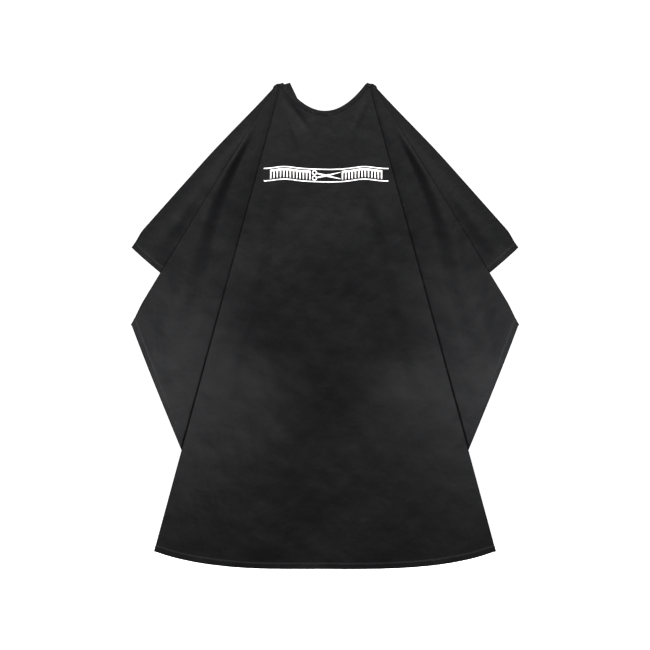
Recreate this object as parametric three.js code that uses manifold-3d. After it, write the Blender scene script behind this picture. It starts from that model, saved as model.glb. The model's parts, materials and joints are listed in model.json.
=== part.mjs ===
// Barber cape: one sheet of woven cloth, bound at the neck and hemmed all round, held by its neckline. The
// front panel hangs straight. Beside it each side of the sheet is pleated in a cascade that starts at the
// shoulder: pleat return, middle pleat, wing return, wing. Behind the wing the back of the sheet is folded
// down along the shoulder line, with the closing ends of the neck band on it.
// Millimetres, +Z up, the front faces -Y, left is -X. The origin is the middle of the neck opening, at the
// height of the shoulders.

import * as THREE from 'three';
import Module from 'manifold-3d';
import { mergeVertices } from 'three/addons/utils/BufferGeometryUtils.js';

const wasm = await Module();
wasm.setup();

// ---------------------------------------------------------------- driving dimensions

const CLOTH = 2;                // thickness that the cloth and its loft take up
const LAYER = 2.5;              // pitch of the layers where they gather at the shoulder
const GAP = 0.3;                // clearance between pieces that touch
const HEM_WIDTH = 16;
const HEM_THICKNESS = 2.6;      // the hem is the cloth turned over twice
const SHOULDER_X = 124;         // half the distance between the two shoulder points
const GATHER = 14;              // the layers start this far from the shoulder point

const NECK_HALF_WIDTH = 104;
const NECK_DEPTH = 69;
const BINDING_WIDTH = 12;
const BINDING_THICKNESS = 3.2;

const FRONT_TOP_X = 112;        // where the front panel's side folds meet the neck binding
const FRONT_BOTTOM_X = 438;
const FRONT_CORNER_Z = -1200;
const FRONT_HEM_RISE = 46;      // how far the hem rises from its middle to its corners
const FRONT_HEM_POWER = 3.5;    // nearly level in the middle, rounded towards the corners

// Each fold of the left side, front to back: its length from the shoulder, its angle from the vertical, and
// how far its lower end lies behind the front panel.
const PLEAT_RIDGE = { length: 1241, angle: 14.7, depth: 4.5 };
const PLEAT_VALLEY = { length: 1230, angle: 5.6, depth: 52 };
const WING_RIDGE = { length: 724, angle: 31.2, depth: 12 };
const WING_VALLEY = { length: 614, angle: 14.9, depth: 36 };
const SHOULDER_FOLD = { length: 562, angle: 41.7, depth: 24 };
const NEXT_LAYER = 3.5;         // a layer starts this far behind the fold that it turns over

const FOLD_ROUND = 8;           // the back hangs this far behind the wing, around a round fold
const FOLD_RADIUS = 2.6;        // the rolled cloth of that fold
const BACK_HEIGHT = 118;        // shoulder fold to the sheet's back edge
const BACK_INSET = 6;           // the back's side hem lies this far inside the wing's hem
const BAND_WIDTH = 24;          // neck band on the back, wide enough for the snaps
const BAND_THICKNESS = 2.4;
const TAB_LENGTH = 30;          // the left band runs past the back edge by this much
// The left band's free corner, turned up at the shoulder point: (u, v) of its outline, back to the band's edge.
const CORNER = [[1, 84], [-6, 70], [-26, 22.5]];

const SNAP_COUNT = 4;           // closing positions on the right band
const SNAP_PITCH = 24;
const SNAP_END = 14;            // first snap's distance from the end of its band
const SNAP_SIDES = 20;
const CAP_RADIUS = 6.2;
const SHANK_RADIUS = 1.6;
const SOCKET_RADIUS = 4.6;
const NUB_RADIUS = 2.8;

const PRINT_THICKNESS = 0.4;
const PRINT_X = 3;              // the cape hangs with its print a little off the middle
const PRINT_Z = -234;
const RULE_LENGTH = 320;
const RULE_WIDTH = 2.6;
const RULE_SPACING = 32;        // middle of the upper rule to middle of the lower one
const COMB_LENGTH = 104;
const COMB_HEIGHT = 23;
const COMB_SPINE = 5;
const COMB_X = 92;              // middle of each comb
const TOOTH_PITCH = 8;
const TOOTH_WIDTH = 3.6;
const BLADE_LENGTH = 38;
const HANDLE_LENGTH = 26;
const RING_RADIUS = 6.4;
const RING_HOLE = 3.8;
const SCISSORS_OPEN = 13;       // degrees that each half turns from the middle line

const BLACK_CLOTH = { color: 0x17181b, roughness: 0.82, metalness: 0 };
const BLACK_TAPE = { color: 0x121316, roughness: 0.7, metalness: 0 };
const WHITE_INK = { color: 0xf1efee, roughness: 0.6, metalness: 0 };
const BLACK_CAP = { color: 0x1b1b1d, roughness: 0.35, metalness: 0.2 };
const STEEL = { color: 0xb9bcc0, roughness: 0.3, metalness: 0.9 };

// ---------------------------------------------------------------- helpers

const cape = new THREE.Group();

function addMesh(name, geometry, finish) {
  const mesh = new THREE.Mesh(geometry, new THREE.MeshStandardMaterial(finish));
  mesh.name = name;
  cape.add(mesh);
  return mesh;
}

function samples(count, from, to) {
  return Array.from({ length: count + 1 }, (_, i) => from + ((to - from) * i) / count);
}

// A flat piece of cloth: outline and holes in the XZ plane, its middle surface at y = surface(x, z).
function slabGeometry(outline, surface, thickness, holes = []) {
  const shape = new THREE.Shape(outline);
  shape.holes = holes;
  const geometry = new THREE.ExtrudeGeometry(shape, { depth: thickness, bevelEnabled: false, curveSegments: 12 });
  geometry.rotateX(Math.PI / 2);
  const position = geometry.attributes.position;
  for (let i = 0; i < position.count; i += 1) {
    const middle = surface(position.getX(i), position.getZ(i));
    position.setY(i, position.getY(i) + thickness / 2 + middle);
  }
  geometry.computeVertexNormals();
  return geometry;
}

function addSlab(name, outline, surface, thickness, finish, holes) {
  return addMesh(name, slabGeometry(outline, surface, thickness, holes), finish);
}

// The plane through three points, as y over x and z.
function planeThrough(a, b, c) {
  const normal = new THREE.Vector3().crossVectors(b.clone().sub(a), c.clone().sub(a));
  return (x, z) => a.y - (normal.x * (x - a.x) + normal.z * (z - a.z)) / normal.y;
}

function flatPoint(point) {
  return new THREE.Vector2(point.x, point.z);
}

// ---------------------------------------------------------------- front panel, its hem and neck binding

const frontPlane = () => 0;

// The neckline is a parabola between the shoulders; inset moves its points square to it, into the cloth.
function necklinePoint(x, inset) {
  const slope = (2 * NECK_DEPTH * x) / NECK_HALF_WIDTH ** 2;
  const z = -NECK_DEPTH * (1 - (x / NECK_HALF_WIDTH) ** 2);
  const tilt = Math.hypot(1, slope);
  return new THREE.Vector2(x + (slope / tilt) * inset, z - inset / tilt);
}

function neckline(inset) {
  return samples(18, -NECK_HALF_WIDTH, NECK_HALF_WIDTH).map((x) => necklinePoint(x, inset));
}

// The front hem, raised by inset, ends on the front panel's side folds.
function frontHem(inset) {
  const slope = (FRONT_BOTTOM_X - FRONT_TOP_X) / -FRONT_CORNER_Z;
  const halfWidth = FRONT_BOTTOM_X - inset * slope;
  return samples(20, -1, 1).map((t) => {
    const rise = FRONT_HEM_RISE * (Math.abs(t) ** FRONT_HEM_POWER - 1);
    return new THREE.Vector2(t * halfWidth, FRONT_CORNER_Z + rise + inset);
  });
}

function addFront() {
  const panel = [...neckline(BINDING_WIDTH + GAP), ...frontHem(HEM_WIDTH + GAP).reverse()];
  addSlab('front_panel', panel, frontPlane, CLOTH, BLACK_CLOTH);
  const hem = [...frontHem(HEM_WIDTH), ...frontHem(0).reverse()];
  addSlab('front_hem', hem, frontPlane, HEM_THICKNESS, BLACK_CLOTH);
  const binding = [...neckline(0), ...neckline(BINDING_WIDTH).reverse()];
  addSlab('neck_binding', binding, frontPlane, BINDING_THICKNESS, BLACK_TAPE);
}

// ---------------------------------------------------------------- pleats at the sides

// The lower end of a fold, from its angle and length, at its own depth or the one given.
function foldEnd(side, fold, depth = fold.depth) {
  const angle = THREE.MathUtils.degToRad(fold.angle);
  const x = side * (SHOULDER_X + fold.length * Math.sin(angle));
  return new THREE.Vector3(x, depth, -fold.length * Math.cos(angle));
}

// One flat layer of the cascade between two folds, with the hem along its lower edge.
function addLayer(name, side, index, a, b) {
  const apex = new THREE.Vector3(side * SHOULDER_X, index * LAYER, 0);
  const surface = planeThrough(apex, a, b);
  const hemLine = new THREE.Line3(a, b);
  const height = hemLine.closestPointToPoint(apex, false, new THREE.Vector3()).distanceTo(apex);
  const outline = (from, to) => [
    apex.clone().lerp(a, from),
    apex.clone().lerp(b, from),
    apex.clone().lerp(b, to),
    apex.clone().lerp(a, to),
  ].map(flatPoint);
  const cloth = outline(GATHER / height, 1 - (HEM_WIDTH + GAP) / height);
  addSlab(name, cloth, surface, CLOTH, BLACK_CLOTH);
  const hem = outline(1 - HEM_WIDTH / height, 1);
  addSlab(`${name}_hem`, hem, surface, HEM_THICKNESS, BLACK_CLOTH);
  return surface;
}

function addPleats(side, prefix) {
  const behind = (fold) => foldEnd(side, fold, fold.depth + NEXT_LAYER);
  const at = (fold) => foldEnd(side, fold);
  addLayer(`${prefix}_pleat_return`, side, 1, at(PLEAT_RIDGE), at(PLEAT_VALLEY));
  addLayer(`${prefix}_middle_pleat`, side, 2, behind(PLEAT_VALLEY), at(WING_RIDGE));
  addLayer(`${prefix}_wing_return`, side, 3, behind(WING_RIDGE), at(WING_VALLEY));
  return addLayer(`${prefix}_wing`, side, 4, behind(WING_VALLEY), at(SHOULDER_FOLD));
}

// ---------------------------------------------------------------- snap fasteners

// Turned pieces lie on a band: their axis is its normal, and heights are measured from its middle surface.
function addTurned(name, profile, centre, outward, finish) {
  const points = profile.map(([radius, height]) => new THREE.Vector2(radius, height));
  const mesh = addMesh(name, new THREE.LatheGeometry(points, SNAP_SIDES), finish);
  mesh.position.copy(centre);
  mesh.quaternion.setFromUnitVectors(new THREE.Vector3(0, 1, 0), outward);
  return mesh;
}

const FACE = BAND_THICKNESS / 2 + GAP;
const BORE = SHANK_RADIUS + GAP;

// Cap with its shank on the outer face, and the socket that the shank holds on the inner face.
function addSocketSnap(prefix, centre, outward) {
  const cap = [[0, -FACE - 1.6], [SHANK_RADIUS, -FACE - 1.6], [SHANK_RADIUS, FACE], [CAP_RADIUS, FACE],
    [CAP_RADIUS, FACE + 0.7], [CAP_RADIUS - 1.2, FACE + 1.5], [0, FACE + 1.9]];
  addTurned(`${prefix}_cap`, cap, centre, outward, BLACK_CAP);
  const socket = [[BORE, -FACE - 2.4], [SOCKET_RADIUS - 0.6, -FACE - 2.4], [SOCKET_RADIUS, -FACE - 1.8],
    [SOCKET_RADIUS, -FACE], [BORE, -FACE], [BORE, -FACE - 2.4]];
  addTurned(`${prefix}_socket`, socket, centre, outward, STEEL);
}

// Stud on the outer face, and the post that holds it from the inner face.
function addStudSnap(prefix, centre, outward) {
  const post = [[0, -FACE - 0.9], [CAP_RADIUS - 1, -FACE - 0.9], [CAP_RADIUS - 0.6, -FACE], [SHANK_RADIUS, -FACE],
    [SHANK_RADIUS, FACE + 1.6], [0, FACE + 1.6]];
  addTurned(`${prefix}_post`, post, centre, outward, BLACK_CAP);
  const stud = [[BORE, FACE], [SOCKET_RADIUS, FACE], [SOCKET_RADIUS, FACE + 0.7], [NUB_RADIUS - 0.3, FACE + 0.7],
    [NUB_RADIUS, FACE + 2], [NUB_RADIUS - 0.6, FACE + 2.6], [BORE, FACE + 2.6], [BORE, FACE]];
  addTurned(`${prefix}_stud`, stud, centre, outward, STEEL);
}

// ---------------------------------------------------------------- back of the sheet, folded down

function addBack(side, prefix, wingSurface) {
  const apex = new THREE.Vector2(side * SHOULDER_X, 0);
  const angle = THREE.MathUtils.degToRad(SHOULDER_FOLD.angle);
  const along = new THREE.Vector2(side * Math.sin(angle), -Math.cos(angle));
  const inward = new THREE.Vector2(-side * Math.cos(angle), -Math.sin(angle));
  const surface = (x, z) => wingSurface(x, z) + FOLD_ROUND;
  // u runs down the shoulder fold, v square to it towards the back edge of the sheet.
  const place = (u, v) => apex.clone().addScaledVector(along, u).addScaledVector(inward, v);
  const patch = (u0, u1, v0, v1) => [place(u0, v0), place(u1, v0), place(u1, v1), place(u0, v1)];
  const bandEdge = BAND_WIDTH + GAP;
  const sideEdge = SHOULDER_FOLD.length - BACK_INSET;
  const sideHem = sideEdge - HEM_WIDTH;
  const backHem = BACK_HEIGHT - HEM_WIDTH;
  const foldEdge = 1.5;

  const cloth = patch(bandEdge, sideHem - GAP, foldEdge, backHem - GAP);
  addSlab(`${prefix}_back_flap`, cloth, surface, CLOTH, BLACK_CLOTH);
  const sideHemOutline = patch(sideHem, sideEdge, foldEdge, BACK_HEIGHT);
  addSlab(`${prefix}_back_flap_side_hem`, sideHemOutline, surface, HEM_THICKNESS, BLACK_CLOTH);
  const backHemOutline = patch(bandEdge, sideHem - GAP, backHem, BACK_HEIGHT);
  addSlab(`${prefix}_back_flap_edge_hem`, backHemOutline, surface, HEM_THICKNESS, BLACK_CLOTH);

  const hasTab = prefix === 'left';
  const bandEnd = BACK_HEIGHT + (hasTab ? TAB_LENGTH : 0);
  const snapCount = hasTab ? 1 : SNAP_COUNT;
  const centres = samples(snapCount - 1 || 1, 0, snapCount - 1).slice(0, snapCount)
    .map((i) => place(BAND_WIDTH / 2, bandEnd - SNAP_END - i * SNAP_PITCH));
  const holes = centres.map((centre) => new THREE.Path().absarc(centre.x, centre.y, BORE, 0, 2 * Math.PI));
  const band = patch(1, BAND_WIDTH, 6, bandEnd);
  if (hasTab) band.push(...CORNER.map(([u, v]) => place(u, v)));
  addSlab(`${prefix}_neck_band`, band, surface, BAND_THICKNESS, BLACK_TAPE, holes);

  const slopeX = surface(apex.x + 1, 0) - surface(apex.x, 0);
  const slopeZ = surface(apex.x, 1) - surface(apex.x, 0);
  const outward = new THREE.Vector3(-slopeX, 1, -slopeZ).normalize();
  centres.forEach((centre, i) => {
    const place3 = new THREE.Vector3(centre.x, surface(centre.x, centre.y), centre.y);
    if (hasTab) addSocketSnap(`${prefix}_snap`, place3, outward);
    else addStudSnap(`${prefix}_snap_${i + 1}`, place3, outward);
  });
}

// The rolled cloth of the shoulder fold, round about the line that the back turns on.
function addShoulderFold(side, prefix, wingSurface) {
  const start = foldEnd(side, { ...SHOULDER_FOLD, length: GATHER });
  const end = foldEnd(side, { ...SHOULDER_FOLD, length: SHOULDER_FOLD.length - BACK_INSET });
  start.y = wingSurface(start.x, start.z) + FOLD_ROUND / 2;
  end.y = wingSurface(end.x, end.z) + FOLD_ROUND / 2;
  const length = start.distanceTo(end);
  const roll = addMesh(`${prefix}_shoulder_fold`, new THREE.CylinderGeometry(FOLD_RADIUS, FOLD_RADIUS, length, 12),
    BLACK_CLOTH);
  roll.position.copy(start).lerp(end, 0.5);
  roll.quaternion.setFromUnitVectors(new THREE.Vector3(0, 1, 0), end.clone().sub(start).normalize());
}

// ---------------------------------------------------------------- print on the front panel

const printPlane = () => -(CLOTH / 2 + GAP + PRINT_THICKNESS / 2);

// A straight rule, above or below the middle of the print.
function rule(height) {
  const corners = [[-1, -1], [1, -1], [1, 1], [-1, 1]];
  return corners.map(([x, z]) => new THREE.Vector2(
    PRINT_X + (x * RULE_LENGTH) / 2,
    PRINT_Z + height + (z * RULE_WIDTH) / 2,
  ));
}

// A comb: a spine with rounded ends and a row of teeth below it.
function combOutline(centreX) {
  const top = PRINT_Z + COMB_HEIGHT / 2;
  const root = top - COMB_SPINE;
  const foot = PRINT_Z - COMB_HEIGHT / 2;
  const left = PRINT_X + centreX - COMB_LENGTH / 2;
  const count = Math.floor(COMB_LENGTH / TOOTH_PITCH);
  const outline = [new THREE.Vector2(left, top - 1.5), new THREE.Vector2(left + 1.5, top)];
  outline.push(new THREE.Vector2(left + COMB_LENGTH - 1.5, top));
  outline.push(new THREE.Vector2(left + COMB_LENGTH, top - 1.5));
  for (let i = count - 1; i >= 0; i -= 1) {
    const tooth = left + (i * (COMB_LENGTH - TOOTH_WIDTH)) / (count - 1);
    outline.push(new THREE.Vector2(tooth + TOOTH_WIDTH, i === count - 1 ? foot : root));
    if (i < count - 1) outline.push(new THREE.Vector2(tooth + TOOTH_WIDTH, foot));
    outline.push(new THREE.Vector2(tooth, foot));
    if (i > 0) outline.push(new THREE.Vector2(tooth, root));
  }
  return outline;
}

// Half a pair of scissors: a blade, a shank and a ring, turned about the pivot.
function scissorsHalf(sign) {
  const turn = THREE.MathUtils.degToRad(SCISSORS_OPEN) * sign;
  const place = (x, z) => new THREE.Vector2(
    PRINT_X + x * Math.cos(turn) - z * Math.sin(turn),
    PRINT_Z + x * Math.sin(turn) + z * Math.cos(turn),
  );
  const bar = [[-HANDLE_LENGTH, -1.3], [0, -2.2], [BLADE_LENGTH, -0.4], [BLADE_LENGTH, 0.4], [0, 2.2],
    [-HANDLE_LENGTH, 1.3]].map(([x, z]) => place(x, z));
  const ringCentre = place(-HANDLE_LENGTH - RING_RADIUS + 1.5, 0);
  const ring = samples(20, 0, 2 * Math.PI).slice(0, 20).map((angle) => new THREE.Vector2(
    ringCentre.x + RING_RADIUS * Math.cos(angle),
    ringCentre.y + RING_RADIUS * Math.sin(angle),
  ));
  const hole = new THREE.Path().absarc(ringCentre.x, ringCentre.y, RING_HOLE, 0, 2 * Math.PI);
  return [slabGeometry(bar, printPlane, PRINT_THICKNESS), slabGeometry(ring, printPlane, PRINT_THICKNESS, [hole])];
}

function solidOf(geometry) {
  const bare = geometry.clone();
  bare.deleteAttribute('normal');
  bare.deleteAttribute('uv');
  const merged = mergeVertices(bare, 1e-4);
  const vertProperties = new Float32Array(merged.attributes.position.array);
  const triVerts = new Uint32Array(merged.index.array);
  return new wasm.Manifold(new wasm.Mesh({ numProp: 3, vertProperties, triVerts }));
}

function joined(geometries) {
  const solid = geometries.map(solidOf).reduce((sum, next) => sum.add(next));
  const mesh = solid.getMesh();
  const geometry = new THREE.BufferGeometry();
  geometry.setAttribute('position', new THREE.BufferAttribute(new Float32Array(mesh.vertProperties), 3));
  geometry.setIndex(new THREE.BufferAttribute(new Uint32Array(mesh.triVerts), 1));
  geometry.computeVertexNormals();
  return geometry;
}

function addPrint() {
  addSlab('printed_rule_upper', rule(RULE_SPACING / 2), printPlane, PRINT_THICKNESS, WHITE_INK);
  addSlab('printed_rule_lower', rule(-RULE_SPACING / 2), printPlane, PRINT_THICKNESS, WHITE_INK);
  addSlab('printed_comb_left', combOutline(-COMB_X), printPlane, PRINT_THICKNESS, WHITE_INK);
  addSlab('printed_comb_right', combOutline(COMB_X), printPlane, PRINT_THICKNESS, WHITE_INK);
  addMesh('printed_scissors', joined([...scissorsHalf(1), ...scissorsHalf(-1)]), WHITE_INK);
}

// ---------------------------------------------------------------- assembly

addFront();
addPrint();
for (const [side, prefix] of [[-1, 'left'], [1, 'right']]) {
  const wingSurface = addPleats(side, prefix);
  addShoulderFold(side, prefix, wingSurface);
  addBack(side, prefix, wingSurface);
}

export default cape;
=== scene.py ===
"""A black barber cape: one pleated sheet of cloth around its CAD frame, with its binding, hems, stitching,
print and snaps. Metres, +Z up, the front faces -Y, left is -X."""
import json
import math

import bpy
import numpy as np
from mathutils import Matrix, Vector


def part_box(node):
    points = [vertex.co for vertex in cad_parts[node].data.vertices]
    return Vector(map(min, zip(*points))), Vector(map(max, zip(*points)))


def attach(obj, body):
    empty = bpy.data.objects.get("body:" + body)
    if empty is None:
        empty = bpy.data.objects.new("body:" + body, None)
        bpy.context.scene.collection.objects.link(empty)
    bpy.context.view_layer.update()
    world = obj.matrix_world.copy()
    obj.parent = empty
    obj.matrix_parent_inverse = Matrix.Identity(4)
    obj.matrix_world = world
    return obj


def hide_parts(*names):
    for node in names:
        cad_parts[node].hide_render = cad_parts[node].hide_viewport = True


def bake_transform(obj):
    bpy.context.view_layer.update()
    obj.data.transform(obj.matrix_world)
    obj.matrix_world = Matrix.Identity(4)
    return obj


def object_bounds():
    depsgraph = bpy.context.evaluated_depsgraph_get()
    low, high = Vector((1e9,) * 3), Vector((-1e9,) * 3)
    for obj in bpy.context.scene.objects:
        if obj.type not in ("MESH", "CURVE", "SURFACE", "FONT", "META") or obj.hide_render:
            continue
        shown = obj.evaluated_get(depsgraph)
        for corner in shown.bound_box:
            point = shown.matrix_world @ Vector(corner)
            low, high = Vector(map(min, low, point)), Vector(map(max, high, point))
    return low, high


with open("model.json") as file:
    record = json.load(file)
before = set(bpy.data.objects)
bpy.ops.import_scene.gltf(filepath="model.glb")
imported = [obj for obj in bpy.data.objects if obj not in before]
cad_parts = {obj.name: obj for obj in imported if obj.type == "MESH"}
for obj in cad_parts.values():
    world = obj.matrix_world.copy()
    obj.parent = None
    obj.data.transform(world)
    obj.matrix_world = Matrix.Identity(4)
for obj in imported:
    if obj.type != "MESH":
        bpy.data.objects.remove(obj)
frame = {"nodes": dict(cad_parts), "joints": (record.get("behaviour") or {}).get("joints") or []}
CAD_BOX = [list(corner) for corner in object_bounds()]

# ------------------------------------------------------------------ sizes
MM = 0.001
CLOTH_THICKNESS = 0.55 * MM
HEM_THICKNESS = 1.5 * MM
HEM_WIDTH = 16 * MM
HEM_STEP = 0.5 * MM            # the hem's inner edge steps down to the cloth over this width
HEM_ROWS = 6                   # rows of the hem below that step
STITCH_INSET = 2.6 * MM        # stitching to the inner edge of a hem or binding
STITCH_PITCH = 3.3 * MM
STITCH_LENGTH = 2.5 * MM
STITCH_RADIUS = 0.28 * MM
STITCH_RISE = 0.22 * MM        # how much the middle of a stitch stands out of its ends
BINDING_WIDTH = 12 * MM
BINDING_THICKNESS = 2.6 * MM
BAND_THICKNESS = 2.2 * MM
TOP_STEP = 2.5 * MM            # pitch of the layers where they gather at the shoulder
ROW_COUNT = 150                # rows of the sheet from neckline to hem
FRONT_COLUMNS = 129            # columns of the front panel
BACK_ROWS = 90                 # rows of a folded-down back down to its side hem
FIRST_ROW = 0.0015             # the share of its length at which a layer comes out from under the tape
HAIRPIN_STEPS = 9              # points round each fold
HEM_BOW = 4 * MM               # the hem of each side layer is cut a little convex

# For each of a side's five folds, front to back, in millimetres: how far inside the shoulder point it starts,
# the radius of its hairpin at the top and at the hem, and how far it stands out of a straight line.
FOLD_GATHERS = (12, 7, 1, 7, 0)
FOLD_RADII = ((1.2, 2.2), (1.2, 6.0), (1.2, 3.0), (1.2, 5.0), (4.0, 4.0))
FOLD_BOWS = (0, 0, 5, 0, 8.5)
# For each of its four layers: the columns across it, and the share of its width over which its depth eases.
LAYER_COLUMNS = (26, 62, 28, 36)
LAYER_EASES = (1.0, 0.65, 1.0, 0.7)

CAMERA_DISTANCE = 10.0
VIEW_TO_CAPE = 1.339           # height of the camera's view over the height of the cape

FORWARD = np.array([0.0, -1.0, 0.0])
BACK = np.array([0.0, 1.0, 0.0])
SIDES = (("left", -1), ("right", 1))
LAYERS = ("pleat_return", "middle_pleat", "wing_return", "wing")


# ------------------------------------------------------------------ reading the frame
def vertices(node):
    mesh = frame["nodes"][node].data
    points = np.zeros(len(mesh.vertices) * 3, np.float32)
    mesh.vertices.foreach_get("co", points)
    return points.reshape(-1, 3).astype(float)


def corner(node, direction):
    """The corner of a flat CAD piece that lies farthest along a direction, in its middle surface."""
    points = vertices(node)
    along = points @ np.array(direction, float)
    return points[along > along.max() - 0.1 * MM].mean(axis=0)


def centre(node):
    low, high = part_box(node)
    return np.array((low + high) / 2)


def unit(v):
    return v / np.linalg.norm(v, axis=-1, keepdims=True)


HINGES = {joint["child"]: joint for joint in frame["joints"]}
NECK_X = max(abs(p[0]) for p in vertices("neck_binding") if p[2] > -0.5 * MM)
NECK_DEPTH = -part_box("neck_binding")[0].z - BINDING_WIDTH
HEM_LOW = -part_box("front_hem")[0].z


# ------------------------------------------------------------------ camera
def make_camera():
    """A long lens square to the front; its view is a third taller than the cape."""
    low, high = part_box("front_hem")[0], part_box("neck_binding")[1]
    view_height = (high.z - low.z) * VIEW_TO_CAPE
    camera = bpy.data.cameras.new("camera")
    camera.sensor_width = 36
    camera.lens = camera.sensor_width * CAMERA_DISTANCE / view_height
    camera.clip_end = 200
    holder = bpy.data.objects.new("camera", camera)
    holder.location = (0.0, -CAMERA_DISTANCE, (high.z + low.z) / 2 + 4 * MM)
    holder.rotation_euler = (math.radians(90), 0, 0)
    bpy.context.scene.collection.objects.link(holder)
    bpy.context.scene.camera = holder


make_camera()


# ------------------------------------------------------------------ mesh helpers
def add_mesh(name, points, faces, material, smooth=True):
    mesh = bpy.data.meshes.new(name)
    mesh.from_pydata([tuple(p) for p in points], [], [tuple(int(i) for i in f) for f in faces])
    mesh.validate()
    mesh.update()
    if smooth:
        mesh.polygons.foreach_set("use_smooth", [True] * len(mesh.polygons))
    mesh.materials.append(material)
    piece = bpy.data.objects.new(name, mesh)
    bpy.context.scene.collection.objects.link(piece)
    return piece


def grid_faces(rows, columns, around=False):
    """Quads of a grid of points stored row after row; around joins the last column to the first."""
    k, c = np.meshgrid(np.arange(rows - 1), np.arange(columns if around else columns - 1), indexing="ij")
    following = (c + 1) % columns
    corners = [k * columns + c, k * columns + following, (k + 1) * columns + following, (k + 1) * columns + c]
    return np.stack(corners, axis=-1).reshape(-1, 4)


def grid_normals(grid):
    along = np.gradient(grid, axis=0)
    across = np.gradient(grid, axis=1)
    return unit(np.cross(along, across) + 1e-12)


def resample(line, pitch):
    """Points a fixed distance apart along a line of points; also the fractional index of each."""
    steps = np.linalg.norm(np.diff(line, axis=0), axis=1)
    along = np.concatenate([[0], np.cumsum(steps)])
    at = np.arange(pitch / 2, along[-1], pitch)
    index = np.interp(at, along, np.arange(len(line)))
    return np.stack([np.interp(at, along, line[:, i]) for i in range(3)], axis=1), index


def smoothstep(t):
    t = np.clip(t, 0, 1)
    return t * t * (3 - 2 * t)


def bump(t, middle, width):
    return np.exp(-((t - middle) / width) ** 2)


def thicken(piece, hem_vertices, thin=CLOTH_THICKNESS, thick=HEM_THICKNESS):
    """Gives the cloth its thickness, more where it is turned over into a hem."""
    group = piece.vertex_groups.new(name="hem")
    group.add(list(range(len(piece.data.vertices))), thin / thick, "REPLACE")
    group.add([int(i) for i in hem_vertices], 1.0, "REPLACE")
    solid = piece.modifiers.new("thickness", "SOLIDIFY")
    solid.thickness = thick
    solid.offset = 0
    solid.vertex_group = "hem"
    solid.use_rim = True


# ------------------------------------------------------------------ materials
def shader(name, base, roughness):
    material = bpy.data.materials.new(name)
    material.use_nodes = True
    nodes, links = material.node_tree.nodes, material.node_tree.links
    surface = nodes["Principled BSDF"]
    surface.inputs["Base Color"].default_value = (*base, 1)
    surface.inputs["Roughness"].default_value = roughness
    return material, nodes, links, surface


def noise(nodes, links, vector, scale, detail):
    node = nodes.new("ShaderNodeTexNoise")
    node.inputs["Scale"].default_value = scale
    node.inputs["Detail"].default_value = detail
    links.new(vector, node.inputs["Vector"])
    return node.outputs["Fac"]


def arithmetic(nodes, links, operation, a, b):
    node = nodes.new("ShaderNodeMath")
    node.operation = operation
    for socket, value in zip(node.inputs, (a, b)):
        if isinstance(value, (int, float)):
            socket.default_value = value
        else:
            links.new(value, socket)
    return node.outputs[0]


def colour_between(nodes, links, factor, low, high):
    mix = nodes.new("ShaderNodeMix")
    mix.data_type = "RGBA"
    mix.inputs["A"].default_value = (*low, 1)
    mix.inputs["B"].default_value = (*high, 1)
    links.new(factor, mix.inputs["Factor"])
    return mix.outputs["Result"]


def bump_chain(nodes, links, surface, layers):
    """Bump nodes one after another: (height, strength, distance)."""
    normal = None
    for height, strength, distance in layers:
        node = nodes.new("ShaderNodeBump")
        node.inputs["Strength"].default_value = strength
        node.inputs["Distance"].default_value = distance
        links.new(height, node.inputs["Height"])
        if normal is not None:
            links.new(normal, node.inputs["Normal"])
        normal = node.outputs["Normal"]
    links.new(normal, surface.inputs["Normal"])


def woven_cloth(name, dark, light, thread):
    """Plain weave: crossed threads, uneven yarn, and a slow change of shade over the cloth."""
    material, nodes, links, surface = shader(name, light, 0.6)
    place = nodes.new("ShaderNodeTexCoord").outputs["Object"]
    bands = []
    for axis in ("X", "Z"):
        wave = nodes.new("ShaderNodeTexWave")
        wave.wave_type = "BANDS"
        wave.bands_direction = axis
        wave.inputs["Scale"].default_value = math.pi / 10 / thread
        wave.inputs["Distortion"].default_value = 0.6
        wave.inputs["Detail"].default_value = 1.0
        links.new(place, wave.inputs["Vector"])
        bands.append(wave.outputs["Fac"])
    weave = arithmetic(nodes, links, "MULTIPLY", *bands)
    yarn = noise(nodes, links, place, 900, 2)
    cloud = noise(nodes, links, place, 6, 3)
    mottle = noise(nodes, links, place, 55, 4)
    slow = arithmetic(nodes, links, "ADD", arithmetic(nodes, links, "MULTIPLY", cloud, 0.5),
                      arithmetic(nodes, links, "MULTIPLY", mottle, 0.3))
    shade = arithmetic(nodes, links, "ADD", slow, arithmetic(nodes, links, "MULTIPLY", weave, 0.2))
    links.new(colour_between(nodes, links, shade, dark, light), surface.inputs["Base Color"])
    rough = arithmetic(nodes, links, "ADD", arithmetic(nodes, links, "MULTIPLY", yarn, 0.16), 0.5)
    links.new(rough, surface.inputs["Roughness"])
    height = arithmetic(nodes, links, "ADD", arithmetic(nodes, links, "MULTIPLY", weave, 0.7),
                        arithmetic(nodes, links, "MULTIPLY", yarn, 0.5))
    bump_chain(nodes, links, surface, [(mottle, 0.8, 1.6 * MM), (height, 0.6, 0.2 * MM)])
    surface.inputs["Specular IOR Level"].default_value = 0.07
    return material


def thread_material():
    material, nodes, links, surface = shader("sewing_thread", (0.005, 0.005, 0.0055), 0.5)
    place = nodes.new("ShaderNodeTexCoord").outputs["Object"]
    fibre = noise(nodes, links, place, 1800, 2)
    links.new(colour_between(nodes, links, fibre, (0.003, 0.003, 0.0035), (0.008, 0.008, 0.009)),
              surface.inputs["Base Color"])
    bump_chain(nodes, links, surface, [(fibre, 0.4, 0.1 * MM)])
    return material


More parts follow.
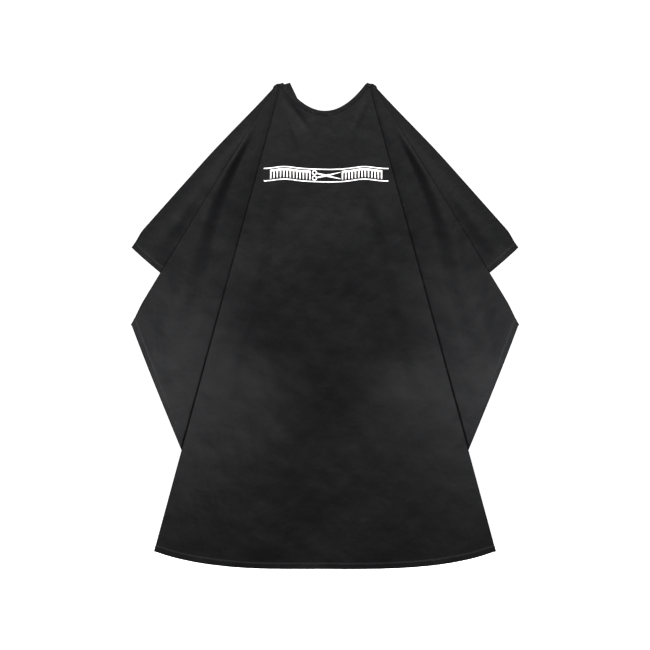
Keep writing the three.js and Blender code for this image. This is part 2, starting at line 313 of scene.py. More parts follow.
def ink_material():
    """White ink laid thickly on the weave, a little broken where the threads show through."""
    material, nodes, links, surface = shader("print_ink", (0.86, 0.83, 0.83), 0.5)
    place = nodes.new("ShaderNodeTexCoord").outputs["Object"]
    grain = noise(nodes, links, place, 1400, 3)
    patch = noise(nodes, links, place, 90, 3)
    shade = arithmetic(nodes, links, "ADD", arithmetic(nodes, links, "MULTIPLY", grain, 0.5),
                       arithmetic(nodes, links, "MULTIPLY", patch, 0.5))
    links.new(colour_between(nodes, links, shade, (0.86, 0.82, 0.82), (1.0, 0.97, 0.97)),
              surface.inputs["Base Color"])
    bump_chain(nodes, links, surface, [(grain, 0.3, 0.1 * MM)])
    return material


def lacquer_material():
    material, nodes, links, surface = shader("snap_lacquer", (0.012, 0.012, 0.013), 0.28)
    place = nodes.new("ShaderNodeTexCoord").outputs["Object"]
    scuff = noise(nodes, links, place, 700, 4)
    rough = arithmetic(nodes, links, "ADD", arithmetic(nodes, links, "MULTIPLY", scuff, 0.25), 0.18)
    links.new(rough, surface.inputs["Roughness"])
    links.new(colour_between(nodes, links, scuff, (0.008, 0.008, 0.009), (0.022, 0.022, 0.024)),
              surface.inputs["Base Color"])
    surface.inputs["Coat Weight"].default_value = 0.5
    surface.inputs["Coat Roughness"].default_value = 0.12
    return material


def nickel_material():
    material, nodes, links, surface = shader("snap_nickel", (0.70, 0.69, 0.67), 0.25)
    place = nodes.new("ShaderNodeTexCoord").outputs["Object"]
    scuff = noise(nodes, links, place, 900, 4)
    surface.inputs["Metallic"].default_value = 1.0
    rough = arithmetic(nodes, links, "ADD", arithmetic(nodes, links, "MULTIPLY", scuff, 0.3), 0.12)
    links.new(rough, surface.inputs["Roughness"])
    links.new(colour_between(nodes, links, scuff, (0.60, 0.59, 0.57), (0.78, 0.77, 0.75)),
              surface.inputs["Base Color"])
    return material


CLOTH = woven_cloth("cape_cloth", (0.0011, 0.0012, 0.0014), (0.0047, 0.0047, 0.0052), 0.5 * MM)
TAPE = woven_cloth("binding_tape", (0.0009, 0.0009, 0.0011), (0.0036, 0.0036, 0.0041), 0.7 * MM)
THREAD = thread_material()
INK = ink_material()
LACQUER = lacquer_material()
NICKEL = nickel_material()


# ------------------------------------------------------------------ folds
class Fold:
    """A fold line from the shoulder to the hem, with the round hairpin that the cloth makes about it."""

    def __init__(self, top, end, radius_top, radius_end, outward, bow):
        self.top, self.end = top, end
        self.bow = bow
        self.radius_top, self.radius_end = radius_top, radius_end
        along = unit((end - top) * [1, 0, 1])
        across = np.cross(along, BACK)
        self.across = across if across[0] * outward > 0 else -across

    def radius(self, s):
        return self.radius_top + (self.radius_end - self.radius_top) * np.asarray(s)

    def bowed(self, s):
        """How far the fold stands out from the straight line between its ends, most in its lower half."""
        s = np.asarray(s)
        return self.bow * smoothstep(s / 0.5) * smoothstep((1 - s) / 0.1)

    def line(self, s):
        s = np.asarray(s)
        return self.top + (self.end - self.top) * s[..., None] + self.across * self.bowed(s)[..., None]

    def hairpin(self, s, turn):
        """turn 0 is the layer in front, 1 the layer behind."""
        r = self.radius(s)[..., None]
        angle = math.pi * turn
        return self.line(s) + r * ((math.sin(angle) - 1) * self.across - math.cos(angle) * BACK)


def folds_of(prefix, side):
    """The folds of one side, front to back; their lower ends are the corners of the CAD hems."""
    ends = [
        corner(f"{prefix}_pleat_return_hem", (side, 0, 0)),
        corner(f"{prefix}_middle_pleat_hem", (0, 0, -1)),
        corner(f"{prefix}_middle_pleat_hem", (side, 0, 0)),
        corner(f"{prefix}_wing_hem", (0, 0, -1)),
        corner(f"{prefix}_wing_hem", (side, 0, 0)),
    ]
    pivot = np.array(HINGES[f"{prefix}_back"]["pos_m"])
    shoulder = abs(pivot[0])
    folds = []
    for i, (end, gather, radii, bow) in enumerate(zip(ends, FOLD_GATHERS, FOLD_RADII, FOLD_BOWS)):
        ridge = i % 2 == 0
        radius_top, radius_end = radii
        top = np.array([side * (shoulder - gather * MM), (i + 0.5) * TOP_STEP, 0.0])
        if i == 0:
            end[1] = radius_end * MM
        elif ridge:
            end[1] += radius_end * MM
        if i == len(ends) - 1:
            top[1] = pivot[1]
        outward = side if ridge else -side
        folds.append(Fold(top, end, radius_top * MM, radius_end * MM, outward, bow * MM))
    return folds


FOLDS = {prefix: folds_of(prefix, side) for prefix, side in SIDES}
FRONT_FOLD, WING_FOLD = FOLDS["right"][0], FOLDS["right"][4]


# ------------------------------------------------------------------ relief
class Waves:
    """A sum of fixed plane waves: the slight crumple of the cloth."""

    def __init__(self, seed, shortest, longest, count):
        rng = np.random.default_rng(seed)
        length = np.exp(rng.uniform(math.log(shortest), math.log(longest), count))
        heading = rng.uniform(0, math.pi, count)
        self.kx = 2 * math.pi * np.cos(heading) / length
        self.kz = 2 * math.pi * np.sin(heading) / length
        self.phase = rng.uniform(0, 2 * math.pi, count)
        self.weight = length / length.mean() / math.sqrt(count)

    def __call__(self, x, z):
        x, z = np.asarray(x)[..., None], np.asarray(z)[..., None]
        return (self.weight * np.sin(self.kx * x + self.kz * z + self.phase)).sum(-1)


LONG_WAVES = Waves(3, 0.16, 0.42, 14)
SHORT_WAVES = Waves(11, 0.035, 0.11, 40)


def from_shoulder(x, z):
    """Distance from the nearer shoulder point, and the angle outwards from the vertical in degrees."""
    out, drop = np.abs(x) - WING_FOLD.top[0], -z
    return np.hypot(out, drop), np.degrees(np.arctan2(out, drop))


def shared_relief(x, z):
    """How far every layer is pushed back at a place: slow waves and small wrinkles, less the ledge and belly
    of the middle pleat and the roll of the wing, which stand forward. All layers share it, so they stay
    clear of each other; it fades out along the shoulder fold."""
    loose = smoothstep(-z / 0.5)
    waves = 2.0 * MM * LONG_WAVES(x, z) * loose + 0.7 * MM * SHORT_WAVES(x, z) * (0.4 + 0.6 * loose)
    reach, angle = from_shoulder(x, z)
    line = 27.5 - 5.6 * smoothstep((reach - 0.22) / 0.4)
    drawn = smoothstep((reach - 0.10) / 0.14) * (1 - smoothstep((reach - 0.62) / 0.2))
    step = smoothstep((angle - line + 3.0) / 6.0) * (1 - smoothstep((angle - line - 2.0) / 8.0))
    ledge = 13 * MM * step * drawn
    belly = 11 * MM * bump(angle, 22, 5.0) * smoothstep((reach - 0.5) / 0.25)
    on_wing = smoothstep((reach - 0.12) / 0.2) * (1 - smoothstep((reach - 0.6) / 0.1))
    wing_roll = 5 * MM * bump(angle, 36, 2.8) * on_wing
    fold = WING_FOLD.end - WING_FOLD.top
    to_fold = np.abs((np.abs(x) - WING_FOLD.top[0]) * fold[2] - z * fold[0]) / math.hypot(fold[0], fold[2])
    return (waves - ledge - belly - wing_roll) * smoothstep(to_fold / 0.05)


# The creases of the chest, drawn from the shoulder points and the neckline: height in millimetres (below zero
# is a furrow), the (x, z) where each starts and stops, and its width.
TUCKS = (
    (-4.2, (-0.106, -0.034), (-0.048, -0.110), 0.0075),
    (2.4, (-0.094, -0.072), (-0.066, -0.165), 0.009),
    (2.4, (0.106, -0.045), (0.070, -0.125), 0.008),
    (1.2, (0.020, -0.078), (0.030, -0.17), 0.010),
    (1.2, (-0.030, -0.078), (-0.036, -0.16), 0.012),
)


def front_relief(x, z):
    """How far the front panel is pushed back (positive) or stands forward; nothing at its side folds."""
    reach = FRONT_FOLD.top[0] + (FRONT_FOLD.end[0] - FRONT_FOLD.top[0]) * z / FRONT_FOLD.end[2]
    from_fold, drop = reach - np.abs(x), -z
    window = smoothstep(np.clip(from_fold / reach, 0, 1) / 0.14)
    fading = 1 - smoothstep((drop - 0.55) / 0.4)
    drawn = smoothstep((drop - 0.14) / 0.2) * fading
    ledge = 8 * MM * smoothstep((from_fold - 0.035 - 0.05 * drop) / 0.045) * drawn
    chest = 15 * MM * bump(x, 0, 0.17) * bump(drop, 0.45, 0.20)
    blobs = 14 * MM * bump(np.abs(x), 0.175, 0.085) * bump(drop, 0.715, 0.08)
    sag = 11 * MM * bump(x, 0.02, 0.17) * bump(drop, 0.93, 0.20)
    flare = 4.0 * MM * np.cos(x / 0.14 * math.pi + 0.4) * smoothstep((drop - 0.8) / 0.4)
    tucks = sum(height * MM * crease(x, z, start, stop, width) for height, start, stop, width in TUCKS)
    return window * (ledge - chest + blobs + sag + flare) - tucks * smoothstep(from_fold / 0.02)


def crease(x, z, start, stop, width):
    """A soft ridge along a straight line that fades at both ends."""
    (x0, z0), (x1, z1) = start, stop
    length = math.hypot(x1 - x0, z1 - z0)
    along = ((x - x0) * (x1 - x0) + (z - z0) * (z1 - z0)) / length ** 2
    aside = ((x - x0) * (z1 - z0) - (z - z0) * (x1 - x0)) / length
    return bump(aside, 0, width) * bump(along, 0.5, 0.5)


def front_surface(x, z):
    """y of the front panel's middle surface."""
    return front_relief(x, z) + shared_relief(x, z)


def neckline_z(x):
    return -NECK_DEPTH * (1 - (x / NECK_X) ** 2)


# ------------------------------------------------------------------ the cape sheet, column by column
def front_column(a):
    """A column of the front panel: a runs from -1 at the left fold to 1 at the right."""

    def points(s):
        half = FRONT_FOLD.line(s)[:, 0] - FRONT_FOLD.radius(s)
        top_z, corner_z = neckline_z(a * NECK_X), FRONT_FOLD.end[2]
        hem_z = corner_z + (-HEM_LOW - corner_z) * (1 - abs(a) ** 3.5)
        x, z = a * half, top_z + (hem_z - top_z) * s
        return np.stack([x, front_relief(x, z), z], axis=-1)

    return points


def layer_column(start, stop, t, valley_first, span):
    """A column of a layer between two folds; its depth eases from the valley's to the ridge's."""

    def points(s):
        s = s * (1 + HEM_BOW * (4 * t * (1 - t)) ** 0.7 / np.linalg.norm(stop.end - stop.top))
        a, b = start.hairpin(s, 1.0), stop.hairpin(s, 0.0)
        flat = a + (b - a) * t
        deep, shallow = (a, b) if valley_first else (b, a)
        ease = smoothstep((t if valley_first else 1 - t) / span)
        flat[:, 1] = deep[:, 1] + (shallow[:, 1] - deep[:, 1]) * ease
        return flat

    return points


def hem_start(start, stop):
    """The share of a layer's length at which its hem begins."""
    a, b, top = start.end, stop.end, start.top
    height = np.linalg.norm(np.cross(b - a, top - a)) / np.linalg.norm(b - a)
    return 1 - HEM_WIDTH / height


def side_columns(prefix):
    """Columns of one side, from the front panel's fold to the shoulder fold, each with its hem's start."""
    folds = FOLDS[prefix]
    columns = []
    for i, (count, span) in enumerate(zip(LAYER_COLUMNS, LAYER_EASES)):
        start, stop = folds[i], folds[i + 1]
        hem = hem_start(start, stop)
        for turn in np.linspace(0, 1, HAIRPIN_STEPS):
            columns.append((lambda s, f=start, q=turn: f.hairpin(s, q), hem))
        for t in (np.arange(count) + 0.5) / count:
            columns.append((layer_column(start, stop, t, i % 2 == 1, span), hem))
    columns.append((lambda s: folds[-1].hairpin(s, 0.0), hem))
    return columns


def smooth_along(values, passes):
    values = np.array(values, float)
    for _ in range(passes):
        padded = np.concatenate([values[:1], values, values[-1:]])
        values = (padded[:-2] + 2 * padded[1:-1] + padded[2:]) / 4
    return values


def rows_for(hem):
    """Values of s down a column: even rows, then one above the hem, the step up to it, and the hem's rows."""
    above = hem - (1 - hem) * 3 * HEM_STEP / HEM_WIDTH
    step = hem + (1 - hem) * HEM_STEP / HEM_WIDTH
    return np.concatenate([np.linspace(FIRST_ROW, above, ROW_COUNT - 1), [hem, step],
                           np.linspace(hem, 1, HEM_ROWS + 1)[1:]])


def sheet_grid():
    left, right = side_columns("left")[::-1], side_columns("right")
    front_hem = 1 - HEM_WIDTH / -FRONT_FOLD.end[2]
    front = [(front_column(a), front_hem) for a in np.linspace(-1, 1, FRONT_COLUMNS + 2)[1:-1]]
    columns = left + front + right
    hems = smooth_along([hem for _, hem in columns], 20)
    grid = np.stack([points(rows_for(hem)) for (points, _), hem in zip(columns, hems)], axis=1)
    grid[..., 1] += shared_relief(grid[..., 0], grid[..., 2])
    return grid


SHEET = sheet_grid()


def make_sheet():
    rows, columns = SHEET.shape[:2]
    piece = add_mesh("cape_sheet", SHEET.reshape(-1, 3), grid_faces(rows, columns), CLOTH)
    thicken(piece, range(ROW_COUNT * columns, rows * columns))
    nodes = [f"{prefix}_{layer}{part}" for prefix, _ in SIDES for layer in LAYERS for part in ("", "_hem")]
    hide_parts("front_panel", "front_hem", *nodes)
    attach(piece, "cape")
    return piece


# ------------------------------------------------------------------ the back of the sheet, folded down
class Back:
    """The folded-down back of one side: u runs down the shoulder fold, v square to it, both in metres."""

    def __init__(self, prefix, side):
        self.fold = FOLDS[prefix][4]
        hem = f"{prefix}_back_flap_side_hem"
        outer, low = corner(hem, (side, 0, 0)), corner(hem, (0, 0, -1))
        self.inward = unit(low - outer)
        self.along = unit(self.fold.end - self.fold.top)
        self.normal = unit(np.cross(self.along, self.inward) * side)
        self.pivot = np.array(HINGES[f"{prefix}_back"]["pos_m"])
        self.length = np.linalg.norm(self.fold.end - self.fold.top)
        self.height = np.linalg.norm(low - outer) + 1.5 * MM
        self.inset = self.length - np.dot(outer - self.fold.top, self.along)

    def place(self, u, v, lift=0.0):
        """A point on the flat back, lifted off its middle surface along its outward normal."""
        u, v, lift = (np.asarray(value, float)[..., None] for value in (u, v, lift))
        corner_point = self.fold.top + self.fold.radius_end * (BACK - self.fold.across)
        bowed = self.fold.bowed(u / self.length) * (1 - smoothstep(v / self.height))
        return corner_point + self.along * u + self.inward * (v - bowed) + self.normal * lift

    def relief(self, u, v):
        """The slack of the hanging back, flat along the neck band and at the fold."""
        wave = 0.5 + 0.5 * np.sin(u / 0.078 + 0.9) * np.cos(v / 0.05 - 0.7)
        return 5 * MM * wave * smoothstep((u - 0.04) / 0.09) * smoothstep(v / 0.06)


BACKS = {prefix: Back(prefix, side) for prefix, side in SIDES}


def back_grid(back):
    """Rows down the shoulder fold; columns round the fold and then across the back."""
    side_hem = 1 - HEM_WIDTH / back.length
    step = HEM_STEP / back.length
    s_rows = np.concatenate([np.linspace(FIRST_ROW, side_hem - 3 * step, BACK_ROWS - 1),
                             [side_hem, side_hem + step], np.linspace(side_hem, 1, HEM_ROWS + 1)[1:]])
    columns = [back.fold.hairpin(s_rows, turn) for turn in np.linspace(0, 1, HAIRPIN_STEPS)]
    edge_hem = back.height - HEM_WIDTH
    v_columns = np.concatenate([np.linspace(0, edge_hem - 3 * HEM_STEP, 24)[1:],
                                [edge_hem, edge_hem + HEM_STEP],
                                np.linspace(edge_hem, back.height, HEM_ROWS + 1)[1:]])
    for v in v_columns:
        shorter = 1 - (back.inset / back.length) * smoothstep(v / 0.03)
        u = s_rows * back.length * shorter
        columns.append(back.place(u, v, back.relief(u, v)))
    grid = np.stack(columns, axis=1)
    thick = np.zeros(grid.shape[:2], bool)
    thick[BACK_ROWS:] = True
    thick[:, -(HEM_ROWS + 1):] = True
    return grid, thick


def turn_with_back(piece):
    """Bakes the piece's placement into its mesh; it keeps the place it was built in."""
    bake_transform(piece)


def make_backs():
    pieces = []
    for prefix, _ in SIDES:
        grid, thick = back_grid(BACKS[prefix])
        rows, columns = grid.shape[:2]
        faces = grid_faces(rows, columns)
        piece = add_mesh(f"{prefix}_back_sheet", grid.reshape(-1, 3), faces, CLOTH)
        thicken(piece, np.flatnonzero(thick.reshape(-1)))
        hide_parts(f"{prefix}_back_flap", f"{prefix}_back_flap_side_hem",
                    f"{prefix}_back_flap_edge_hem", f"{prefix}_shoulder_fold")
        turn_with_back(piece)
        pieces.append(piece)
    return pieces


# ------------------------------------------------------------------ binding and bands
def tape(name, middle, widthwise, outward, half_width, half_thickness):
    """A folded tape along a line: its section is a rounded rectangle, a little fuller along one edge."""
    steps = 24
    angle = 2 * math.pi * np.arange(steps) / steps
    across = np.sign(np.cos(angle)) * np.abs(np.cos(angle)) ** 0.35
    through = np.sign(np.sin(angle)) * np.abs(np.sin(angle)) ** 0.55 * (1 + 0.12 * across)
    half_width = np.broadcast_to(half_width, len(middle))
    rings = (middle[:, None] + widthwise[:, None] * (across[None, :, None] * half_width[:, None, None])
             + outward[:, None] * (through[None, :, None] * half_thickness))
    count = len(middle)
    faces = [tuple(f) for f in grid_faces(count, steps, around=True)]
    faces += [tuple(range(steps))[::-1], tuple((count - 1) * steps + i for i in range(steps))]
    return add_mesh(name, rings.reshape(-1, 3), faces, TAPE)


def binding_line(inset, count=120):
    """Points along the front neckline, moved into the cloth, and the direction into the cloth at each."""
    x = np.linspace(-NECK_X, NECK_X, count)
    slope = 2 * NECK_DEPTH * x / NECK_X ** 2
    tilt = np.hypot(1, slope)
    inwards = np.stack([slope / tilt, 0 * x, -1 / tilt], axis=-1)
    edge = np.stack([x, 0 * x, neckline_z(x)], axis=-1) + inwards * inset
    edge[:, 1] = front_surface(edge[:, 0], edge[:, 2])
    return edge, inwards


def make_front_binding():
    line, inwards = binding_line(BINDING_WIDTH / 2)
    outward = np.broadcast_to(FORWARD, line.shape)
    piece = tape("front_neck_binding", line, -inwards, outward, BINDING_WIDTH / 2, BINDING_THICKNESS / 2)
    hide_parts("neck_binding")
    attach(piece, "cape")


def curve_through(points, count):
    """A smooth line through a few points of any dimension (Catmull-Rom)."""
    points = np.array(points, float)
    ends = np.concatenate([[2 * points[0] - points[1]], points, [2 * points[-1] - points[-2]]])
    line = []
    for i in range(len(points) - 1):
        a, b, c, d = ends[i:i + 4]
        for t in np.linspace(0, 1, count, endpoint=False):
            line.append(0.5 * (2 * b + (c - a) * t + (2 * a - 5 * b + 4 * c - d) * t ** 2
                               + (3 * b - a - 3 * c + d) * t ** 3))
    return np.array(line + [points[-1]])


# The tape over a shoulder point, front to back, in millimetres from the top of the shoulder fold: its middle
# (outwards, back, up), the way its upper edge lies from there, and half its width.
SHOULDER_TAPE = (
    ((-17.0, -14.6, -6.0), (-0.80, 0.0, 0.60), 6.0),
    ((-14.0, -14.9, -3.6), (-0.78, 0.0, 0.62), 6.0),
    ((-9.3, -12.5, -0.6), (-0.97, 0.0, 0.24), 6.6),
    ((-7.2, -6.0, 0.3), (-1.0, 0.0, 0.06), 7.2),
    ((-5.8, 1.0, -0.2), (-0.99, 0.0, 0.12), 7.0),
    ((-2.9, 4.6, -5.2), (-0.80, 0.0, 0.60), 9.0),
    ((-0.4, 4.9, -12.0), (-0.68, 0.0, 0.73), 11.0),
    ((-2.6, 5.2, -17.0), (-0.665, 0.0, 0.746), 11.3),
)


def make_shoulder_bindings():
    """The binding where it passes over the gathered layers, from the front neckline to the band behind."""
    for prefix, side in SIDES:
        mirror = np.array([side, 1, 1])
        keys = [(*(np.array(p) * MM), *way, half * MM) for p, way, half in SHOULDER_TAPE]
        line = curve_through(keys, 7)
        path = line[:, :3] * mirror + BACKS[prefix].pivot
        heading = unit(np.gradient(path, axis=0))
        way = line[:, 3:6] * mirror
        widthwise = unit(way - heading * (heading * way).sum(-1, keepdims=True))
        outward = unit(np.cross(widthwise, heading)) * side
        piece = tape(f"{prefix}_shoulder_binding", path, widthwise, outward, line[:, 6], 1.0 * MM)
        turn_with_back(piece)


def band_edges(prefix):
    """The closing band's reach down the fold, as (v, inner u, outer u) along its length."""
    back = BACKS[prefix]
    points = vertices(f"{prefix}_neck_band") - back.place(0.0, 0.0)
    u, v = points @ back.along, points @ back.inward
    upper = sorted({(round(b, 4), round(a, 4)) for a, b in zip(u, v) if a < 10 * MM})
    at = np.linspace(v.min(), v.max(), 90)
    inner = np.interp(at, [b for b, _ in upper], [a for _, a in upper])
    return at, inner, np.full_like(at, u.max())


def make_neck_bands():
    """The wide band on each closing end, a little narrower at its far end."""
    for prefix, _ in SIDES:
        back = BACKS[prefix]
        v, inner, outer = band_edges(prefix)
        rounded = 1 - 0.12 * smoothstep((v - (v[-1] - 5 * MM)) / (5 * MM)) ** 2
        middle = back.place((inner + outer) / 2, v, 0.05 * MM)
        widthwise = np.broadcast_to(back.along, middle.shape)
        outward = np.broadcast_to(back.normal, middle.shape)
        piece = tape(f"{prefix}_closing_band", middle, widthwise, outward, (outer - inner) / 2 * rounded,
                     BAND_THICKNESS / 2)
        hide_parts(f"{prefix}_neck_band")
        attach(piece, f"{prefix}_back")


# ------------------------------------------------------------------ stitching
def stitches(name, rows):
    """Rows of stitches as one mesh: each is a short round thread, sunk at both ends.

    A row is (points, normals)."""
    sections = ((-1.0, 0.25), (-0.6, 0.85), (0.0, 1.0), (0.6, 0.85), (1.0, 0.25))
    sides = 6
    angle = 2 * math.pi * np.arange(sides) / sides
    all_points, all_faces, base = [], [], 0
    ring_faces = grid_faces(len(sections), sides, around=True)
    last = (len(sections) - 1) * sides
    caps = [tuple(range(sides))[::-1], tuple(last + i for i in range(sides))]
    for line, normals in rows:
        points, index = resample(line, STITCH_PITCH)
        count = np.arange(len(line))
        normal = unit(np.stack([np.interp(index, count, normals[:, i]) for i in range(3)], axis=1))
        ahead = unit(np.gradient(points, axis=0))
        aside = unit(np.cross(ahead, normal))
        up = np.cross(aside, ahead)
        for p, t, b, n in zip(points, ahead, aside, up):
            for at, size in sections:
                spot = p + t * (at * STITCH_LENGTH / 2) + n * (STITCH_RISE * (size - 0.75))
                ring = np.cos(angle)[:, None] * b + np.sin(angle)[:, None] * n
                all_points.append(spot + STITCH_RADIUS * size * ring)
            all_faces += [tuple(f + base) for f in ring_faces]
            all_faces += [tuple(i + base for i in cap) for cap in caps]
            base += len(sections) * sides
    return add_mesh(name, np.concatenate(all_points), all_faces, THREAD)


def both_faces(line, normals, half_thickness):
    return [(line + normals * half_thickness, normals), (line - normals * half_thickness, -normals)]


def make_stitching():
    normals = grid_normals(SHEET)
    row = ROW_COUNT + 1
    hem_line, hem_normals = SHEET[row], normals[row]
    piece = stitches("hem_stitching", both_faces(hem_line, hem_normals, HEM_THICKNESS / 2))
    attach(piece, "cape")
    line, _ = binding_line(BINDING_WIDTH - STITCH_INSET)
    face = np.broadcast_to(FORWARD, line.shape)
    piece = stitches("binding_stitching", both_faces(line, face, BINDING_THICKNESS / 2 * 0.93))
    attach(piece, "cape")
    for prefix, _ in SIDES:
        back = BACKS[prefix]
        grid, _ = back_grid(back)
        flat = grid_normals(grid)
        row = BACK_ROWS + 1
        rows = both_faces(grid[row, HAIRPIN_STEPS:], flat[row, HAIRPIN_STEPS:], HEM_THICKNESS / 2)
        rows += both_faces(grid[8:, -HEM_ROWS], flat[8:, -HEM_ROWS], HEM_THICKNESS / 2)
        v = np.linspace(9 * MM, band_edges(prefix)[0][-1] - 3 * MM, 30)
        for u in (3.5 * MM, 21.5 * MM):
            line = back.place(np.full_like(v, u), v)
            normal = np.broadcast_to(back.normal, line.shape)
            rows += both_faces(line, normal, BAND_THICKNESS / 2 * 0.95)
        piece = stitches(f"{prefix}_back_stitching", rows)
        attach(piece, f"{prefix}_back")


# ------------------------------------------------------------------ snaps
def turned(name, profile, middle, axis, material, steps=48):
    """A turned piece: profile is (radius, height) in millimetres, height along axis from middle."""
    side = unit(np.cross(axis, [0.3, 0.1, 1.0]))
    other = np.cross(axis, side)
    angle = 2 * math.pi * np.arange(steps) / steps
    ring = np.cos(angle)[:, None] * side + np.sin(angle)[:, None] * other
    points = [middle + ring * r * MM + axis * h * MM for r, h in profile]
    return add_mesh(name, np.concatenate(points), grid_faces(len(profile), steps, around=True), material)


def rounded_profile(points, radius=0.18, steps=4):
    """The profile with its corners rounded off."""
    points = [np.array(p, float) for p in points]
    made = [points[0]]
    for before, here, after in zip(points, points[1:], points[2:]):
        a, b = before - here, after - here
        r = min(radius, np.linalg.norm(a) * 0.45, np.linalg.norm(b) * 0.45)
        start, stop = here + unit(a) * r, here + unit(b) * r
        for t in np.linspace(0, 1, steps):
            made.append((1 - t) ** 2 * start + 2 * t * (1 - t) * here + t ** 2 * stop)
    return made + [points[-1]]


# Sections of the snap's four parts: (radius, height above the middle of the band) in millimetres.
CAP = [(0.02, -3.0), (1.6, -3.0), (1.6, 1.2), (5.9, 1.2), (6.2, 1.5), (6.2, 1.9), (5.4, 2.5), (4.6, 2.62),
       (4.2, 2.5), (2.0, 2.75), (0.02, 2.85)]
SOCKET = [(1.9, -1.2), (4.6, -1.2), (4.6, -2.6), (4.0, -3.5), (3.3, -3.7), (2.7, -3.3), (2.5, -2.4),
          (1.9, -2.3), (1.9, -1.2)]
POST = [(0.02, -2.25), (1.1, -2.25), (1.3, -2.0), (3.2, -2.1), (4.9, -2.1), (5.4, -1.7), (5.5, -1.2),
        (1.6, -1.2), (1.6, 3.0), (0.9, 3.3), (0.02, 3.3)]
STUD = [(1.9, 1.2), (4.6, 1.2), (4.7, 1.6), (4.3, 2.1), (3.4, 2.1), (2.6, 2.4), (2.5, 2.9), (2.85, 3.4),
        (2.6, 3.9), (2.1, 4.1), (1.9, 3.9), (1.9, 1.2)]


def make_snaps():
    kinds = {"cap": (CAP, LACQUER, "snap_cap"), "socket": (SOCKET, NICKEL, "snap_steel"),
             "post": (POST, LACQUER, "snap_cap"), "stud": (STUD, NICKEL, "snap_steel")}
    for prefix, _ in SIDES:
        back = BACKS[prefix]
        for node in [n for n in sorted(frame["nodes"]) if n.startswith(f"{prefix}_snap")]:
            profile, material, slot = kinds[node.rsplit("_", 1)[1]]
            lift = np.dot(centre(node) - back.place(0.0, 0.0), back.normal)
            middle = centre(node) - back.normal * lift
            piece = turned(f"{node}_detail", rounded_profile(profile), middle, back.normal, material)
            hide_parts(node)
            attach(piece, f"{prefix}_back")


# ------------------------------------------------------------------ print
INK_LIFT = 0.45 * MM
INK_THICKNESS = 0.16 * MM
COMB_SPINE, COMB_TOOTH, COMB_PITCH = 5 * MM, 3.6 * MM, 8 * MM
BLADE, SHANK, RING_REACH = 38 * MM, 26 * MM, 30.9 * MM      # lengths of the scissors from their pivot
RING_OUTER, RING_INNER = 6.4 * MM, 3.8 * MM
OPENING = math.radians(13)                                  # of each half of the scissors


def ink_strip(x0, z0, x1, z1, width0, width1=None, step=3.5 * MM):
    """A straight stroke of ink as a grid of (x, z) points, tapering from one width to the other."""
    width1 = width0 if width1 is None else width1
    start, stop = np.array([x0, z0]), np.array([x1, z1])
    length = np.linalg.norm(stop - start)
    t = np.linspace(0, 1, max(2, math.ceil(length / step) + 1))
    aside = np.array([-(stop - start)[1], (stop - start)[0]]) / length
    middle = start + (stop - start) * t[:, None]
    half = (width0 + (width1 - width0) * t)[:, None] / 2
    return np.stack([middle + aside * half, middle - aside * half], axis=1), False


def ink_ring(x, z, outer, inner, steps=36):
    angle = np.linspace(0, 2 * math.pi, steps, endpoint=False)
    ring = np.stack([np.cos(angle), np.sin(angle)], axis=-1)
    return np.stack([[x, z] + ring * outer, [x, z] + ring * inner], axis=0), True


def drawn_up(x):
    """How far the chest is drawn up, as it hangs from the two shoulder points; the print shows it."""
    return 5.5 * MM * (bump(x, -0.104, 0.034) + bump(x, 0.100, 0.034)) - 2.0 * MM * bump(x, 0.012, 0.050)


def ink_piece(name, node, parts):
    """Lays strokes of ink on the front panel; where strokes cross, the later one lies a hair in front."""
    points, faces, base = [], [], 0
    for i, (grid, around) in enumerate(parts):
        rows, columns = grid.shape[:2]
        flat = grid.reshape(-1, 2) + [0, 1] * drawn_up(grid.reshape(-1, 2)[:, :1])
        y = front_surface(flat[:, 0], flat[:, 1]) - INK_LIFT - 0.02 * MM * (i % 2)
        points.append(np.stack([flat[:, 0], y, flat[:, 1]], axis=-1))
        faces += [tuple(f + base) for f in grid_faces(rows, columns, around)]
        base += len(flat)
    piece = add_mesh(name, np.concatenate(points), faces, INK)
    solid = piece.modifiers.new("thickness", "SOLIDIFY")
    solid.thickness = INK_THICKNESS
    solid.offset = 0
    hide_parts(node)
    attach(piece, "cape")


def box_parts(node):
    low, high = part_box(node)
    return (low.x + high.x) / 2, (low.z + high.z) / 2, high.x - low.x, high.z - low.z


def make_print():
    for place in ("upper", "lower"):
        x, z, width, height = box_parts(f"printed_rule_{place}")
        line = ink_strip(x - width / 2, z, x + width / 2, z, height)
        ink_piece(f"ink_rule_{place}", f"printed_rule_{place}", [line])
    for side in ("left", "right"):
        x, z, width, height = box_parts(f"printed_comb_{side}")
        left, top, foot = x - width / 2, z + height / 2, z - height / 2
        count = math.floor(width / COMB_PITCH + 1e-6)
        parts = [ink_strip(left, top - COMB_SPINE / 2, left + width, top - COMB_SPINE / 2, COMB_SPINE)]
        for i in range(count):
            tooth_x = left + COMB_TOOTH / 2 + i * (width - COMB_TOOTH) / (count - 1)
            parts.append(ink_strip(tooth_x, top - COMB_SPINE, tooth_x, foot, COMB_TOOTH, COMB_TOOTH * 0.8))
        ink_piece(f"ink_comb_{side}", f"printed_comb_{side}", parts)
    x, z, width, _ = box_parts("printed_scissors")
    parts = []
    pivot_x = x + width / 2 - BLADE * math.cos(OPENING)
    for sign in (-1, 1):
        turn = np.array([math.cos(OPENING), sign * math.sin(OPENING)])
        tip, heel, ring = turn * BLADE, turn * -SHANK, turn * -RING_REACH
        parts.append(ink_strip(pivot_x, z, pivot_x + tip[0], z + tip[1], 4.8 * MM, 1.2 * MM))
        parts.append(ink_strip(pivot_x + heel[0], z + heel[1], pivot_x, z, 3.0 * MM, 4.8 * MM))
        parts.append(ink_ring(pivot_x + ring[0], z + ring[1], RING_OUTER, RING_INNER))
    ink_piece("ink_scissors", "printed_scissors", parts)


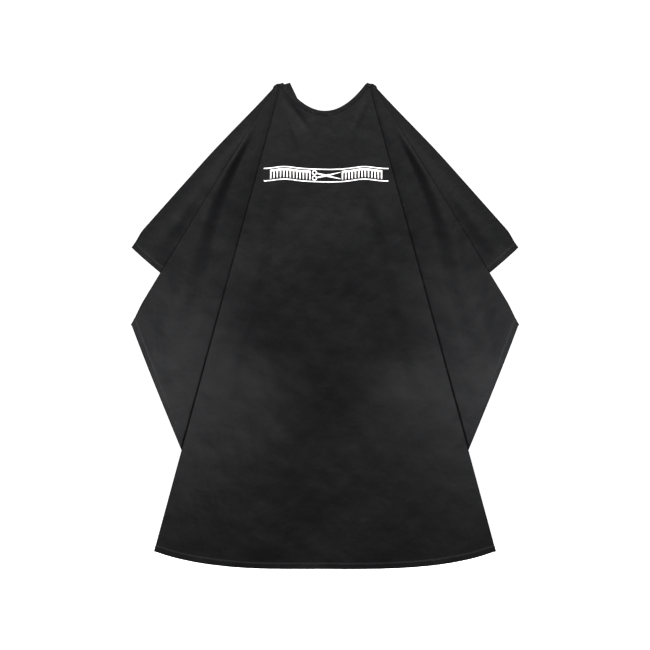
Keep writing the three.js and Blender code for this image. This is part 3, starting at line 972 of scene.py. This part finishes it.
# ------------------------------------------------------------------ the object
sheet = make_sheet()
backs = make_backs()
make_front_binding()
make_shoulder_bindings()
make_neck_bands()
make_stitching()
make_snaps()
make_print()


# ------------------------------------------------------------------ stage
def make_stage():
    """A round pale floor that curves up into a wall all the way round. It glows, so the cape casts no shadow
    on it, and it throws no light back on the cape, which only the lamps light."""
    floor_z = CAD_BOX[0][2] - 0.16
    material, _, _, surface = shader("stage_paint", (0.93, 0.93, 0.93), 0.9)
    surface.inputs["Specular IOR Level"].default_value = 0.1
    surface.inputs["Emission Color"].default_value = (1, 1, 1, 1)
    surface.inputs["Emission Strength"].default_value = 0.97
    wall, curve, height = 14.0, 1.5, 9.0
    profile = [(r, floor_z) for r in (0.001, 0.3, 0.6, 1.0, 3.0, 8.0)]
    for i in range(13):
        angle = math.radians(-90 + 90 * i / 12)
        profile.append((wall - curve + curve * math.cos(angle), floor_z + curve + curve * math.sin(angle)))
    profile.append((wall, floor_z + height))
    steps = 72
    points = [(r * math.cos(2 * math.pi * k / steps), r * math.sin(2 * math.pi * k / steps), z)
              for r, z in profile for k in range(steps)]
    backdrop = add_mesh("backdrop", points, grid_faces(len(profile), steps, around=True), material)
    backdrop.visible_diffuse = False
    backdrop.visible_glossy = False


def area_light(name, place, target, size, power):
    light = bpy.data.lights.new(name, "AREA")
    light.shape = "RECTANGLE"
    light.size, light.size_y = size
    light.energy = power
    holder = bpy.data.objects.new(name, light)
    holder.location = place
    holder.rotation_euler = (Vector(target) - Vector(place)).to_track_quat("-Z", "Y").to_euler()
    bpy.context.scene.collection.objects.link(holder)


def make_lights():
    """A soft box high on each side of the front, one box behind, and a pool of light on each side of the
    skirt. Each pool comes from the other side, so that the gaps along the folds stay dark."""
    middle = (0, 0, (CAD_BOX[0][2] + CAD_BOX[1][2]) / 2)
    area_light("front_left_box", (-1.5, -3.2, 1.9), (0, 0, -0.35), (1.0, 0.8), 330)
    area_light("front_right_box", (1.5, -3.3, 1.8), (0, 0, -0.35), (1.0, 0.8), 275)
    area_light("rear_box", (0.3, 3.2, 1.0), middle, (3.4, 2.4), 150)
    for name, side, power in (("left_pool", -1, 4900), ("right_pool", 1, 4500)):
        light = bpy.data.lights.new(name, "SPOT")
        light.energy = power
        light.spot_size = math.radians(6.6)
        light.spot_blend = 1.0
        light.shadow_soft_size = 0.25
        holder = bpy.data.objects.new(name, light)
        holder.location = (side * -0.9, -5.1, -0.5)
        aim = Vector((side * 0.50, 0, -0.78)) - holder.location
        holder.rotation_euler = aim.to_track_quat("-Z", "Y").to_euler()
        bpy.context.scene.collection.objects.link(holder)
    world = bpy.data.worlds.new("world")
    world.use_nodes = True
    world.node_tree.nodes["Background"].inputs["Color"].default_value = (1, 1, 1, 1)
    world.node_tree.nodes["Background"].inputs["Strength"].default_value = 0.05
    bpy.context.scene.world = world
    bpy.context.scene.view_settings.view_transform = "Standard"


make_stage()
make_lights()
